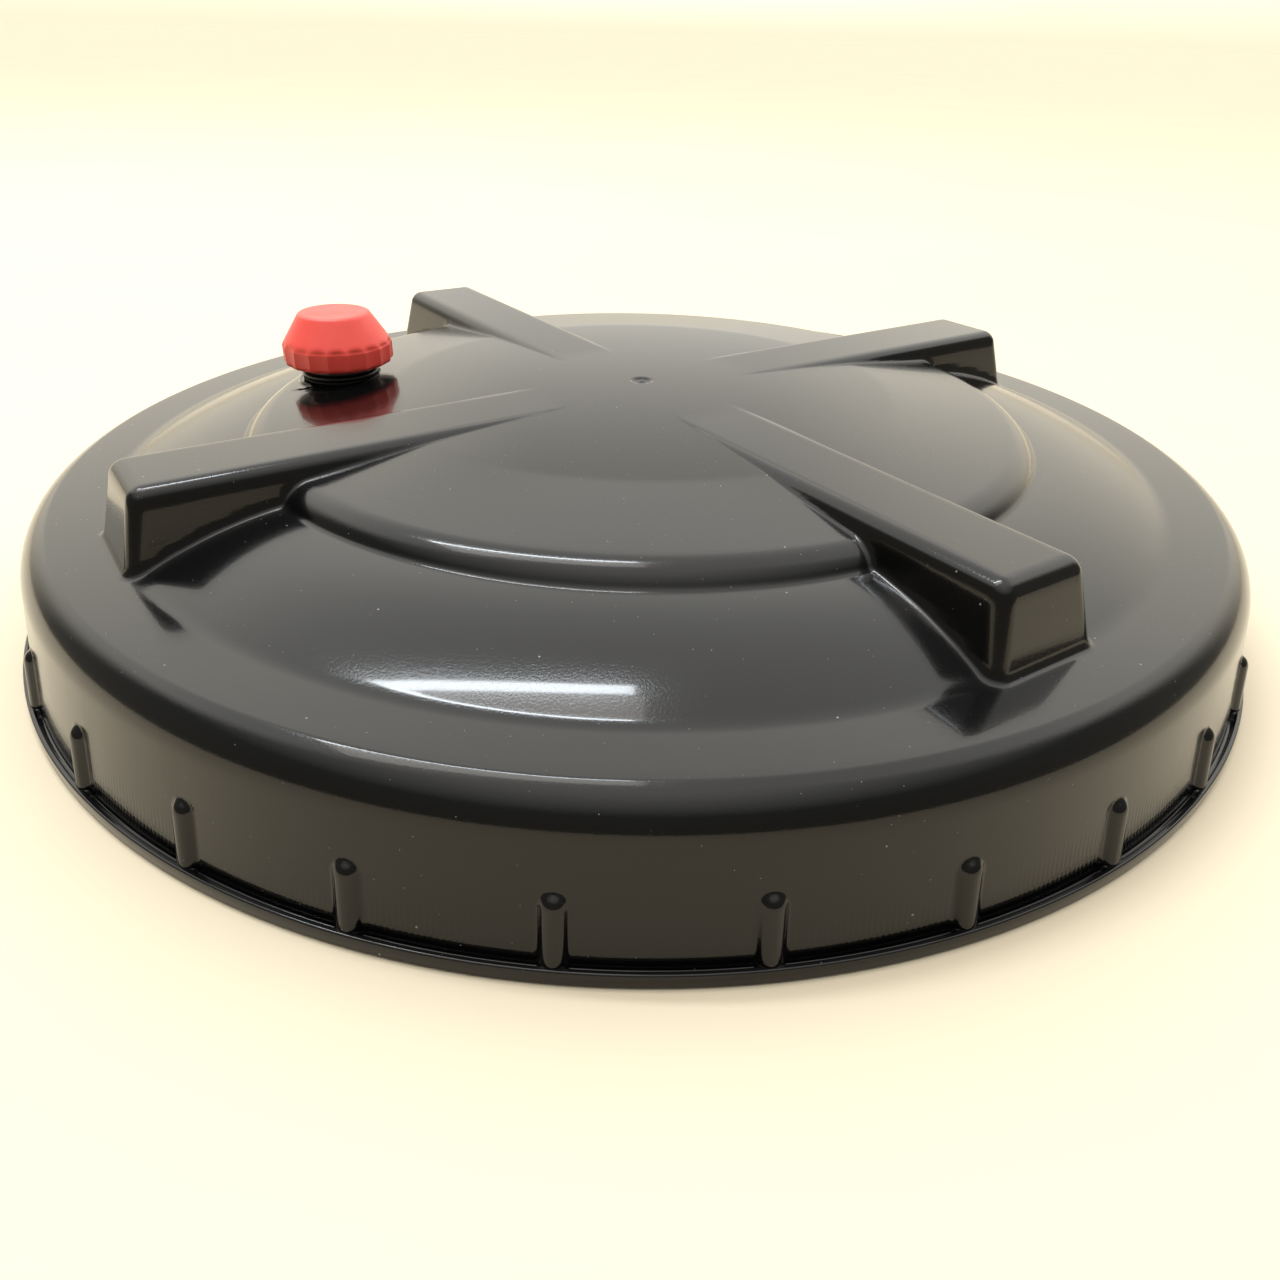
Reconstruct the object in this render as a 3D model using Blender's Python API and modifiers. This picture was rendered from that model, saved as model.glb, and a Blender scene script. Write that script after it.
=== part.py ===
"""Screw-on lid for a 455 mm tank neck, with a screw-capped air breather.

The origin is the bottom centre of the lid, +Z is up, and the four hollow grip ribs lie along X and Y.
"""

import math

import bmesh
import bpy
from mathutils import Matrix, Vector

MM = 0.001
GAP = 0.3 * MM  # clearance kept between separate pieces

# Lid shell, outer surface
FLANGE_RADIUS = 245 * MM
FLANGE_HEIGHT = 4.7 * MM
SKIRT_BASE_RADIUS = 241.5 * MM
SHOULDER_CORNER = (235.7 * MM, 47.3 * MM)
SHOULDER_EDGE = (226.6 * MM, 51.0 * MM)  # where the flat ring turns down into the shoulder
SHOULDER_EDGE_ROUND = 3 * MM
SHOULDER_ROUND = 15 * MM
CREASE = (206.0 * MM, 51.4 * MM)
STEP_BASE = (158.8 * MM, 64.3 * MM)
STEP_TOP = (158.2 * MM, 70.4 * MM)
STEP_ROUND = 7 * MM
PLATEAU_RADIUS = 103 * MM
PLATEAU_HEIGHT = 76.2 * MM
LID_HEIGHT = 79 * MM
SHOULDER_BULGE = 2.0 * MM  # how far the sloping band crowns above a straight cone

# Lid shell, underside
WALL = 4 * MM
SEAT_HEIGHT = 44.5 * MM
SEAT_INNER_RADIUS = 214.4 * MM
SEAT_OUTER_RADIUS = 229.4 * MM
LIP_INNER_RADIUS = 211.8 * MM
LIP_HEIGHT = 40.2 * MM

# Grip ribs
GRIP_COUNT = 4
GRIP_TOP = 78.4 * MM
GRIP_FOOT = 49.8 * MM
GRIP_START = 35 * MM
GRIP_END_TOP = 200.8 * MM
GRIP_END_FOOT = 208.2 * MM
GRIP_HALF_TOP = 17.5 * MM
GRIP_HALF_FOOT = 22.2 * MM
GRIP_ROUND = 3.5 * MM

# Small upright ribs around the skirt
SKIRT_RIB_COUNT = 28
SKIRT_RIB_TOP = 24.8 * MM
SKIRT_RIB_RADIUS = 4 * MM
SKIRT_RIB_PROUD = 2.8 * MM

# Thread inside the skirt
THREAD_PITCH = 14 * MM
THREAD_TURNS = 1.25
THREAD_START = 12 * MM
THREAD_RADIUS = 2.6 * MM
THREAD_INSET = 0.3 * MM  # how far the ridge's centre lies inside the wall
THREAD_RUN_OUT = 3  # points at each end over which the ridge dies away
THREAD_POINTS_PER_TURN = 36

# Rim gasket
GASKET_THICK = 6 * MM

# Breather: place on the lid, boss and stem
BREATHER_OFFSET = 129.6 * MM
BREATHER_ANGLE = math.radians(139)
BOSS_RADIUS = 17.4 * MM
BOSS_TOP = 73.3 * MM
BOSS_UNDERSIDE = 65 * MM
SEAT_RADIUS = 16.4 * MM  # flat face cut into the boss for the washer
STEM_HOLE_RADIUS = 13.7 * MM
STEM_BORE_RADIUS = 9.5 * MM
SHANK_RADIUS = 13.2 * MM
SHANK_BOTTOM = 54 * MM
STEM_FLANGE_RADIUS = 15.8 * MM
STEM_FLANGE_THICK = 1.8 * MM
STEM_NECK_RADIUS = 14.1 * MM
STEM_TOP = 88 * MM
SCREEN_RADIUS = 11.2 * MM
SCREEN_THICK = 1.8 * MM
SCREEN_HOLE = 2.6 * MM
SCREEN_PITCH = 3.6 * MM
WASHER_RADIUS = 15.6 * MM
WASHER_THICK = 1 * MM
NUT_FLATS = 34 * MM
NUT_THICK = 8 * MM

# Breather cap and the filter ring inside it
CAP_BOTTOM = 80 * MM
CAP_TOP = 100.2 * MM
CAP_RADIUS = 22.4 * MM
CAP_BAND_HEIGHT = 8.6 * MM
CAP_CONE_RADIUS = 21.7 * MM
CAP_TOP_RADIUS = 14.3 * MM
CAP_WALL = 1.9 * MM
CAP_ROUND = 1.6 * MM
SLEEVE_INNER_RADIUS = 14.5 * MM
SLEEVE_OUTER_RADIUS = 16.7 * MM
SLEEVE_BOTTOM = 81 * MM
FLUTE_COUNT = 18
FLUTE_DEPTH = 0.7 * MM
VENT_WIDTH = 6 * MM
VENT_HEIGHT = 3.2 * MM
FILTER_HEIGHT = 6.6 * MM

LID_STEPS = 56
BREATHER_STEPS = 36


def clear_scene():
    for obj in list(bpy.data.objects):
        bpy.data.objects.remove(obj, do_unlink=True)


def make_collection(name, hidden=False):
    collection = bpy.data.collections.new(name)
    bpy.context.scene.collection.children.link(collection)
    collection.hide_render = hidden
    return collection


def make_material(name, color, roughness, metallic=0.0):
    material = bpy.data.materials.new(name)
    material.use_nodes = True
    shader = material.node_tree.nodes["Principled BSDF"]
    shader.inputs["Base Color"].default_value = (*color, 1.0)
    shader.inputs["Roughness"].default_value = roughness
    shader.inputs["Metallic"].default_value = metallic
    return material


def add_object(name, mesh, material=None):
    """A part, or without a material a cutter or filler that helps to shape one."""
    obj = bpy.data.objects.new(name, mesh)
    if material:
        mesh.materials.append(material)
        PARTS.objects.link(obj)
    else:
        obj.hide_render = True
        obj.display_type = "WIRE"
        CUTTERS.objects.link(obj)
    return obj


def mesh_from(build):
    """A new mesh holding what build makes."""
    shape = bmesh.new()
    build(shape)
    mesh = bpy.data.meshes.new("shape")
    shape.to_mesh(mesh)
    shape.free()
    return mesh


def turned(name, profile, steps, material=None, ring=False):
    """A profile of (radius, height) points, turned about Z. A ring's profile closes on itself."""
    mesh = bpy.data.meshes.new(name)
    points = [(radius, 0.0, height) for radius, height in profile]
    edges = [(i, i + 1) for i in range(len(points) - 1)]
    if ring:
        edges.append((len(points) - 1, 0))
    mesh.from_pydata(points, edges, [])
    obj = add_object(name, mesh, material)
    screw = obj.modifiers.new("Turn", "SCREW")
    screw.axis = "Z"
    screw.steps = steps
    screw.render_steps = steps
    screw.use_merge_vertices = True
    screw.merge_threshold = 0.0001
    screw.use_smooth_shade = False
    return obj


def boolean(obj, other, operation):
    modifier = obj.modifiers.new(f"{operation.title()} {other.name}", "BOOLEAN")
    modifier.operation = operation
    modifier.object = other


def bevel(obj, width, segments):
    modifier = obj.modifiers.new("Round edges", "BEVEL")
    modifier.width = width
    modifier.segments = segments
    modifier.limit_method = "ANGLE"
    modifier.angle_limit = math.radians(40)


def fillet(before, corner, after, radius, segments):
    """Points of an arc that rounds the corner between two straight stretches of a profile."""
    corner = Vector(corner)
    back = (Vector(before) - corner).normalized()
    onward = (Vector(after) - corner).normalized()
    half_angle = back.angle(onward) / 2
    centre = corner + (back + onward).normalized() * (radius / math.sin(half_angle))
    start = corner + back * (radius / math.tan(half_angle)) - centre
    turn = math.pi - 2 * half_angle
    side = math.copysign(1.0, back.x * onward.y - back.y * onward.x)
    points = []
    for i in range(segments + 1):
        angle = -side * turn * i / segments
        x = start.x * math.cos(angle) - start.y * math.sin(angle)
        y = start.x * math.sin(angle) + start.y * math.cos(angle)
        points.append((centre.x + x, centre.y + y))
    return points


def crowned(start, end, bulge, segments):
    """Points after start, up to and with end, on a parabola that stands bulge above the chord."""
    points = []
    for i in range(1, segments + 1):
        t = i / segments
        radius = start[0] + (end[0] - start[0]) * t
        height = start[1] + (end[1] - start[1]) * t + 4 * bulge * t * (1 - t)
        points.append((radius, height))
    return points


def skirt_radius(height):
    """Outer radius of the drafted skirt at a height."""
    slope = (SHOULDER_CORNER[0] - SKIRT_BASE_RADIUS) / (SHOULDER_CORNER[1] - FLANGE_HEIGHT)
    return SKIRT_BASE_RADIUS + slope * (height - FLANGE_HEIGHT)


def central_dome(drop, segments):
    """The shallow middle of the lid, lowered by drop."""
    points = []
    for i in range(segments + 1):
        t = i / segments
        height = LID_HEIGHT - (LID_HEIGHT - PLATEAU_HEIGHT) * t * t
        points.append((PLATEAU_RADIUS * t, height - drop))
    return points


def outer_profile():
    profile = central_dome(0, 3)
    profile += fillet(profile[-1], STEP_TOP, STEP_BASE, STEP_ROUND, 4)
    profile.append(STEP_BASE)
    profile += crowned(STEP_BASE, CREASE, SHOULDER_BULGE, 5)
    profile += fillet(CREASE, SHOULDER_EDGE, SHOULDER_CORNER, SHOULDER_EDGE_ROUND, 1)
    profile += fillet(SHOULDER_EDGE, SHOULDER_CORNER, (SKIRT_BASE_RADIUS, FLANGE_HEIGHT), SHOULDER_ROUND, 5)
    profile += [
        (SKIRT_BASE_RADIUS, FLANGE_HEIGHT),
        (FLANGE_RADIUS, FLANGE_HEIGHT),
        (FLANGE_RADIUS, 0),
        (0, 0),
    ]
    return profile


def inner_profile():
    """Everything under the lid's wall, down past the open rim."""
    below = -5 * MM
    profile = central_dome(WALL, 2)
    profile += [
        (STEP_TOP[0] - WALL, STEP_TOP[1] - 1.4 * WALL),
        (STEP_BASE[0] - WALL, STEP_BASE[1] - WALL),
        (CREASE[0] - WALL / 2, CREASE[1] - WALL),
        (LIP_INNER_RADIUS, CREASE[1] - 1.1 * WALL),
        (LIP_INNER_RADIUS, LIP_HEIGHT),
        (SEAT_INNER_RADIUS, LIP_HEIGHT),
        (SEAT_INNER_RADIUS, SEAT_HEIGHT),
        (SEAT_OUTER_RADIUS, SEAT_HEIGHT),
        (skirt_radius(LIP_HEIGHT) - WALL, LIP_HEIGHT),
        (skirt_radius(below) - WALL, below),
        (0, below),
    ]
    return profile


def grip_blocks(name, inset):
    """Four tapered blocks. Inset shrinks them by a wall and lets them hang below the lid's wall."""

    def build(shape):
        cube = bmesh.ops.create_cube(shape, size=2)["verts"]
        foot = GRIP_FOOT - 30 * MM
        draft = (GRIP_HALF_FOOT - GRIP_HALF_TOP) / (GRIP_TOP - GRIP_FOOT)
        end_draft = (GRIP_END_FOOT - GRIP_END_TOP) / (GRIP_TOP - GRIP_FOOT)
        for vert in cube:
            height = GRIP_TOP - inset if vert.co.z > 0 else foot
            fall = GRIP_TOP - height
            half = GRIP_HALF_TOP + draft * fall - inset
            end = GRIP_END_TOP + end_draft * fall - inset
            vert.co = (end if vert.co.x > 0 else GRIP_START, math.copysign(half, vert.co.y), height)
        copy_around(shape, cube, GRIP_COUNT)

    obj = add_object(name, mesh_from(build))
    bevel(obj, GRIP_ROUND - inset / 2, 2)
    return obj


def copy_around(shape, verts, count):
    """Copies geometry into a ring about Z that starts with the original."""
    source = list({face for vert in verts for face in vert.link_faces})
    for i in range(1, count):
        copied = bmesh.ops.duplicate(shape, geom=source)["geom"]
        moved = [item for item in copied if isinstance(item, bmesh.types.BMVert)]
        turn = Matrix.Rotation(math.tau * i / count, 3, "Z")
        bmesh.ops.rotate(shape, verts=moved, cent=(0, 0, 0), matrix=turn)


def skirt_ribs():
    """Upright half-round ribs that stand on the flange, one of them in line with each grip."""
    start = FLANGE_HEIGHT / 2
    height = SKIRT_RIB_TOP - start
    tilt = math.atan2(skirt_radius(start) - skirt_radius(SKIRT_RIB_TOP), height)
    middle = skirt_radius(start + height / 2) + SKIRT_RIB_PROUD - SKIRT_RIB_RADIUS

    def build(shape):
        post = bmesh.ops.create_cone(
            shape, cap_ends=True, segments=8, radius1=SKIRT_RIB_RADIUS, radius2=SKIRT_RIB_RADIUS, depth=height
        )["verts"]
        lean = Matrix.Rotation(-tilt, 4, "Y")
        place = Matrix.Translation((middle, 0, start + height / 2))
        bmesh.ops.transform(shape, matrix=place @ lean, verts=post)
        copy_around(shape, post, SKIRT_RIB_COUNT)

    return add_object("skirt_rib_posts", mesh_from(build))


def thread_ridge():
    """A round-topped helical ridge on the inside of the skirt, thinning out into the wall at its ends."""
    count = round(THREAD_TURNS * THREAD_POINTS_PER_TURN)
    curve = bpy.data.curves.new("thread_path", "CURVE")
    curve.dimensions = "3D"
    curve.bevel_depth = THREAD_RADIUS
    curve.bevel_resolution = 1
    curve.use_fill_caps = True
    spline = curve.splines.new("POLY")
    spline.points.add(count)
    for i, point in enumerate(spline.points):
        angle = math.tau * i / THREAD_POINTS_PER_TURN
        height = THREAD_START + THREAD_PITCH * i / THREAD_POINTS_PER_TURN
        fade = min(1.0, (min(i, count - i) + 1) / (THREAD_RUN_OUT + 1))
        radius = skirt_radius(height) - WALL + THREAD_INSET + (1 - fade) * THREAD_RADIUS / 2
        point.co = (radius * math.cos(angle), radius * math.sin(angle), height, 1)
        point.radius = fade
    path = bpy.data.objects.new("thread_path", curve)
    CUTTERS.objects.link(path)
    bpy.context.view_layer.update()
    graph = bpy.context.evaluated_depsgraph_get()
    mesh = bpy.data.meshes.new_from_object(path.evaluated_get(graph))
    bpy.data.objects.remove(path, do_unlink=True)
    shape = bmesh.new()
    shape.from_mesh(mesh)
    bmesh.ops.remove_doubles(shape, verts=shape.verts, dist=0.00001)
    bmesh.ops.recalc_face_normals(shape, faces=shape.faces)
    shape.to_mesh(mesh)
    shape.free()
    return add_object("thread_ridge", mesh)


def breather_place():
    return Vector((BREATHER_OFFSET * math.cos(BREATHER_ANGLE), BREATHER_OFFSET * math.sin(BREATHER_ANGLE), 0))


def cylinder(name, radius, low, high, segments=BREATHER_STEPS):
    """An upright cylinder on the breather's axis, for a Boolean."""

    def build(shape):
        bmesh.ops.create_cone(
            shape, cap_ends=True, segments=segments, radius1=radius, radius2=radius, depth=high - low
        )

    obj = add_object(name, mesh_from(build))
    obj.location = breather_place() + Vector((0, 0, (low + high) / 2))
    return obj


def lid_shell(material):
    shell = turned("lid_shell", outer_profile(), LID_STEPS, material)
    boolean(shell, grip_blocks("grip_outsides", 0), "UNION")
    boolean(shell, skirt_ribs(), "UNION")
    boolean(shell, turned("lid_inside", inner_profile(), LID_STEPS), "DIFFERENCE")
    boolean(shell, grip_blocks("grip_insides", WALL), "DIFFERENCE")
    boolean(shell, thread_ridge(), "UNION")
    boolean(shell, cylinder("breather_boss", BOSS_RADIUS, BOSS_UNDERSIDE, BOSS_TOP), "UNION")
    boolean(shell, cylinder("washer_seat", SEAT_RADIUS, BOSS_TOP, STEM_TOP), "DIFFERENCE")
    boolean(shell, cylinder("stem_hole", STEM_HOLE_RADIUS, SHANK_BOTTOM, STEM_TOP + GAP), "DIFFERENCE")


def rim_gasket(material):
    inner = SEAT_INNER_RADIUS + GAP
    outer = SEAT_OUTER_RADIUS - GAP
    top = SEAT_HEIGHT - GAP
    bottom = top - GASKET_THICK
    turned("rim_gasket", [(inner, top), (outer, top), (outer, bottom), (inner, bottom)], LID_STEPS, material, ring=True)


def breather_ring(name, profile, material):
    """A ring about the breather's axis."""
    ring = turned(name, profile, BREATHER_STEPS, material, ring=True)
    ring.location = breather_place()
    return ring


def washer(name, bottom, material):
    inner = SHANK_RADIUS + GAP
    top = bottom + WASHER_THICK
    profile = [(inner, top), (WASHER_RADIUS, top), (WASHER_RADIUS, bottom), (inner, bottom)]
    breather_ring(name, profile, material)


def breather_stem(material):
    flange_bottom = BOSS_TOP + WASHER_THICK + 2 * GAP
    flange_top = flange_bottom + STEM_FLANGE_THICK
    edge = STEM_FLANGE_RADIUS - 0.8 * MM
    pocket = STEM_TOP - SCREEN_THICK - 2 * GAP
    profile = [
        (SCREEN_RADIUS + GAP, STEM_TOP),
        (STEM_NECK_RADIUS - 0.6 * MM, STEM_TOP),
        (STEM_NECK_RADIUS, STEM_TOP - 0.6 * MM),
        (STEM_NECK_RADIUS, flange_top),
        (edge, flange_top),
        (STEM_FLANGE_RADIUS, (flange_top + flange_bottom) / 2),
        (edge, flange_bottom),
        (SHANK_RADIUS, flange_bottom),
        (SHANK_RADIUS, SHANK_BOTTOM),
        (STEM_BORE_RADIUS, SHANK_BOTTOM),
        (STEM_BORE_RADIUS, pocket),
        (SCREEN_RADIUS + GAP, pocket),
    ]
    breather_ring("breather_stem", profile, material)


def back_nut(material):
    top = BOSS_UNDERSIDE - WASHER_THICK - 2 * GAP

    def build(shape):
        corner_radius = NUT_FLATS / 2 / math.cos(math.pi / 6)
        bmesh.ops.create_cone(
            shape, cap_ends=True, segments=6, radius1=corner_radius, radius2=corner_radius, depth=NUT_THICK
        )

    nut = add_object("back_nut", mesh_from(build), material)
    nut.location = breather_place() + Vector((0, 0, top - NUT_THICK / 2))
    bevel(nut, 1 * MM, 1)
    boolean(nut, cylinder("nut_hole", SHANK_RADIUS + GAP, top - 2 * NUT_THICK, top + NUT_THICK), "DIFFERENCE")


def insect_screen(material):
    """A moulded disc with a grid of square holes, in the pocket at the top of the stem."""
    top = STEM_TOP - GAP
    bottom = top - SCREEN_THICK

    def build_disc(shape):
        bmesh.ops.create_cone(
            shape,
            cap_ends=True,
            segments=BREATHER_STEPS,
            radius1=SCREEN_RADIUS,
            radius2=SCREEN_RADIUS,
            depth=SCREEN_THICK,
        )

    def build_holes(shape):
        reach = 2
        for column in range(-reach, reach + 1):
            for row in range(-reach, reach + 1):
                if column * column + row * row > reach * reach + 1:
                    continue
                size = Matrix.Diagonal((SCREEN_HOLE, SCREEN_HOLE, 4 * SCREEN_THICK, 1))
                place = Matrix.Translation((column * SCREEN_PITCH, row * SCREEN_PITCH, 0))
                bmesh.ops.create_cube(shape, size=1, matrix=place @ size)

    centre = breather_place() + Vector((0, 0, (top + bottom) / 2))
    screen = add_object("insect_screen", mesh_from(build_disc), material)
    screen.location = centre
    holes = add_object("screen_holes", mesh_from(build_holes))
    holes.location = centre
    boolean(screen, holes, "DIFFERENCE")


def filter_ring(material):
    inner = SLEEVE_OUTER_RADIUS + GAP
    outer = CAP_RADIUS - CAP_WALL - GAP
    bottom = SLEEVE_BOTTOM
    top = bottom + FILTER_HEIGHT
    breather_ring("filter_ring", [(inner, top), (outer, top), (outer, bottom), (inner, bottom)], material)


def breather_cap(material):
    """A hollow cap: fluted band, cone and flat top outside, threaded sleeve inside."""
    shoulder = CAP_BOTTOM + CAP_BAND_HEIGHT
    roof = CAP_TOP - CAP_WALL
    slope = (CAP_CONE_RADIUS - CAP_TOP_RADIUS) / (CAP_TOP - shoulder)
    cone_foot = (CAP_CONE_RADIUS, shoulder)
    cone_inside = CAP_CONE_RADIUS - 1.3 * CAP_WALL
    branch = shoulder + (cone_inside - SLEEVE_OUTER_RADIUS) / slope
    profile = [(0, CAP_TOP)]
    profile += fillet((0, CAP_TOP), (CAP_TOP_RADIUS, CAP_TOP), cone_foot, CAP_ROUND, 3)
    profile += [
        cone_foot,
        (CAP_RADIUS - 0.5 * MM, shoulder),
        (CAP_RADIUS, shoulder - 0.5 * MM),
        (CAP_RADIUS, CAP_BOTTOM),
        (CAP_RADIUS - CAP_WALL, CAP_BOTTOM),
        (CAP_RADIUS - CAP_WALL, shoulder - 0.5 * MM),
        (cone_inside, shoulder),
        (SLEEVE_OUTER_RADIUS, branch),
        (SLEEVE_OUTER_RADIUS, SLEEVE_BOTTOM),
        (SLEEVE_INNER_RADIUS, SLEEVE_BOTTOM),
        (SLEEVE_INNER_RADIUS, branch),
        (CAP_TOP_RADIUS - CAP_WALL, roof),
        (0, roof),
    ]
    cap = turned("breather_cap", profile, BREATHER_STEPS, material)
    cap.location = breather_place()

    def build_flutes(shape):
        """A prism whose side is a ring of shallow flutes with a ridge between each two."""
        height = 2 * (CAP_TOP - CAP_BOTTOM)
        prism = bmesh.ops.create_cone(
            shape, cap_ends=True, segments=2 * FLUTE_COUNT, radius1=CAP_RADIUS, radius2=CAP_RADIUS, depth=height
        )["verts"]
        for vert in prism:
            angle = math.atan2(vert.co.y, vert.co.x)
            if round(angle * FLUTE_COUNT / math.pi) % 2:
                vert.co.xy *= 1 - FLUTE_DEPTH / CAP_RADIUS

    def build_vents(shape):
        for i in range(3):
            size = Matrix.Diagonal((2 * SLEEVE_OUTER_RADIUS + 1 * MM, VENT_WIDTH, VENT_HEIGHT, 1))
            bmesh.ops.create_cube(shape, size=1, matrix=Matrix.Rotation(math.pi * i / 3, 4, "Z") @ size)

    flutes = add_object("cap_flutes", mesh_from(build_flutes))
    flutes.location = cap.location + Vector((0, 0, CAP_TOP))
    boolean(cap, flutes, "INTERSECT")
    vents = add_object("sleeve_vents", mesh_from(build_vents))
    vents.location = cap.location + Vector((0, 0, STEM_TOP + GAP + VENT_HEIGHT / 2))
    boolean(cap, vents, "DIFFERENCE")


clear_scene()
PARTS = make_collection("tank_lid")
CUTTERS = make_collection("cutters", hidden=True)

lid_shell(make_material("gloss black polyethylene", (0.012, 0.012, 0.013), 0.18))
rim_gasket(make_material("gasket rubber", (0.03, 0.03, 0.03), 0.8))
breather_stem(make_material("black nylon", (0.015, 0.015, 0.016), 0.4))
washer("stem_washer", BOSS_TOP + GAP, make_material("washer rubber", (0.03, 0.03, 0.03), 0.8))
washer("nut_washer", BOSS_UNDERSIDE - GAP - WASHER_THICK, make_material("washer nylon", (0.7, 0.7, 0.66), 0.5))
back_nut(make_material("nut nylon", (0.02, 0.02, 0.02), 0.45))
insect_screen(make_material("screen plastic", (0.05, 0.05, 0.05), 0.5))
filter_ring(make_material("filter foam", (0.18, 0.18, 0.17), 0.95))
breather_cap(make_material("red polypropylene", (0.75, 0.07, 0.05), 0.35))
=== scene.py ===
"""Looks of the tank lid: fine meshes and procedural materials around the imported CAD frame.

Lengths are in millimetres where nothing else is said, and turn into metres when a mesh is made.
"""

import math

import bmesh
import bpy
import numpy as np
from mathutils import Matrix, Vector


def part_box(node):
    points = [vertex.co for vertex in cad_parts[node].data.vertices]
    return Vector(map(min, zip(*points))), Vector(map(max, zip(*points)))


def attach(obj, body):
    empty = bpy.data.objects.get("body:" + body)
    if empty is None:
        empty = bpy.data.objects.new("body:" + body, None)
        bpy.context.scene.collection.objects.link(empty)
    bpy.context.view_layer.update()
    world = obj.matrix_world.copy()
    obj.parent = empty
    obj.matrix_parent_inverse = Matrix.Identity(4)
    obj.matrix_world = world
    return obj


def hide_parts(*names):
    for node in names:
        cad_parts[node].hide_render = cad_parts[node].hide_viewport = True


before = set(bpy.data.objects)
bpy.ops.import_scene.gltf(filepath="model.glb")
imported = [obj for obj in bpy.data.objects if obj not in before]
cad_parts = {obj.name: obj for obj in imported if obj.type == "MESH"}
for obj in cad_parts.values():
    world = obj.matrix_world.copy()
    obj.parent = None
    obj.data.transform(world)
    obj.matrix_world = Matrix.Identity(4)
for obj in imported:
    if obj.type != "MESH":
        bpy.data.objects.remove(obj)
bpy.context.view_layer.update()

MM = 0.001

# Outer surface of the lid
FLANGE_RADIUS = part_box("lid_shell")[1].x / MM
FLANGE_HEIGHT = 4.7
SKIRT_BASE_RADIUS = 241.5
SHOULDER_EDGE = (226.6, 51.0)
SHOULDER_EDGE_ROUND = 3
SHOULDER_CORNER = (235.7, 47.3)
SHOULDER_ROUND = 15
CREASE = (206.0, 51.4)
CREASE_SOFTNESS = 1.2
STEP_BASE = (158.8, 64.3)
STEP_TOP = (158.4, 70.4)
STEP_ROUND = 11
STEP_FILLET = 1.2
PLATEAU_RADIUS = 103
PLATEAU_HEIGHT = 76.2
LID_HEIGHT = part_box("lid_shell")[1].z / MM
BAND_BULGE = 2.0
BAND_LEAN = 0.97  # mean cosine of the band's slope
HEIGHT_RANGE = (40, 90)  # between which the surface is looked for
HALVINGS = 34

# Gate scar in the middle: a dimple with a broken nub in it, each with its inner and outer radius
DIMPLE_DEPTH = 0.9
DIMPLE_RADII = (3.2, 4.6)
NUB_HEIGHT = 0.8
NUB_RADII = (0.6, 1.9)

# Underside
WALL = 4
SEAT_HEIGHT = 44.5
SEAT_RADII = (214.4, 229.4)
LIP_INNER_RADIUS = 211.8
LIP_HEIGHT = 40.2

# Grip ribs
GRIP_COUNT = 4
GRIP_TOP = 78.4
GRIP_FOOT = 49.8
GRIP_HALF_WIDTHS = (17.5, 22.2)  # at the top and at the foot
GRIP_ENDS = (200.8, 208.2)  # at the top and at the foot
GRIP_ROUND = 4.6
GRIP_FILLET = 1.8
GRIP_FILLET_FADE = (0.5, 9)  # heights of a grip over the surface between which its fillet grows

# Mesh lines of the lid
GRIP_BAND = 27.0  # half-width of the strip whose lines run along a grip
GRIP_SOURCE = 45.0  # radius inside which those lines fan out from the middle
LINE_END = 216.0  # radius outside which every line keeps its bearing
LINE_PITCH = 1.5  # degrees between the lines beside a grip
RIB_CLEARANCE = 1.9  # degrees on each side of a skirt rib that hold only its own lines
STRAIGHT_FROM = (180, 190)  # radii between which the rings straighten over a grip's end
STRAIGHT_UNTIL = 213
STRAIGHT_FADE = 0.12  # radians beside the strip over which a straight ring turns round again

# Skirt ribs
SKIRT_RIB_COUNT = 28
SKIRT_RIB_TOP = 24.8
SKIRT_RIB_RADIUS = 4.0
SKIRT_RIB_PROUD = 2.6
SKIRT_RIB_END = 3.6  # height of its rounded upper end
SKIRT_RIB_FILLET = 0.5
GROOVE_WIDTH = 1.9  # of the groove between the skirt and the flange's lip
GROOVE_FLOOR = 2.9
ROW_GAP = 0.01  # keeps rows apart where a rib's foot presses them together

# Neck thread inside the skirt
THREAD_PITCH = 14.0
THREAD_TURNS = 1.25
THREAD_START = 12.0
THREAD_HEIGHT = 2.2
THREAD_FLANK = (0.7, 2.5)  # from the crest's middle to its edge and to its foot
THREAD_RUN_OUT = 0.5  # radians

# Breather
CAP_LOW, CAP_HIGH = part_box("breather_cap")
STEM_LOW, STEM_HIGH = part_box("breather_stem")
BREATHER_X = (STEM_LOW.x + STEM_HIGH.x) / 2 / MM
BREATHER_Y = (STEM_LOW.y + STEM_HIGH.y) / 2 / MM
BREATHER_OFFSET = math.hypot(BREATHER_X, BREATHER_Y)
BOSS_RADIUS = 17.4
BOSS_TOP = 73.3
BOSS_UNDERSIDE = 65.0
SEAT_RADIUS = 16.4
STEM_HOLE_RADIUS = 13.7
PATCH_MARGINS = (4.5, 1.2)  # from the boss to the lid's own mesh lines, inwards and outwards

# Breather stem and its nut
STEM_CENTRE = (BREATHER_X, BREATHER_Y)
STEM_BOTTOM = STEM_LOW.z / MM
STEM_TOP = STEM_HIGH.z / MM
STEM_NECK_RADIUS = 14.1
STEM_NECK_FOOT = 79
STEM_BORE_RADIUS = 9.5
STEM_THREAD_PITCH = 3.0
STEM_THREAD_DEPTH = 0.7
STEM_THREAD_FOOT = 80.5  # of the thread on the neck
SHANK_RADIUS = 13.2
COLLAR = (74.9, 76.7, 15.8)  # bottom, top and radius of the stem's collar
SCREEN_POCKET = (11.5, 85.6)  # radius and floor of the pocket for the insect screen
NUT_CHAMFER = 1.2
NUT_CORNER = 1.13  # from the middle to a chamfered corner, against half the width over the flats
NUT_THREAD_DEPTH = 0.6

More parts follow.
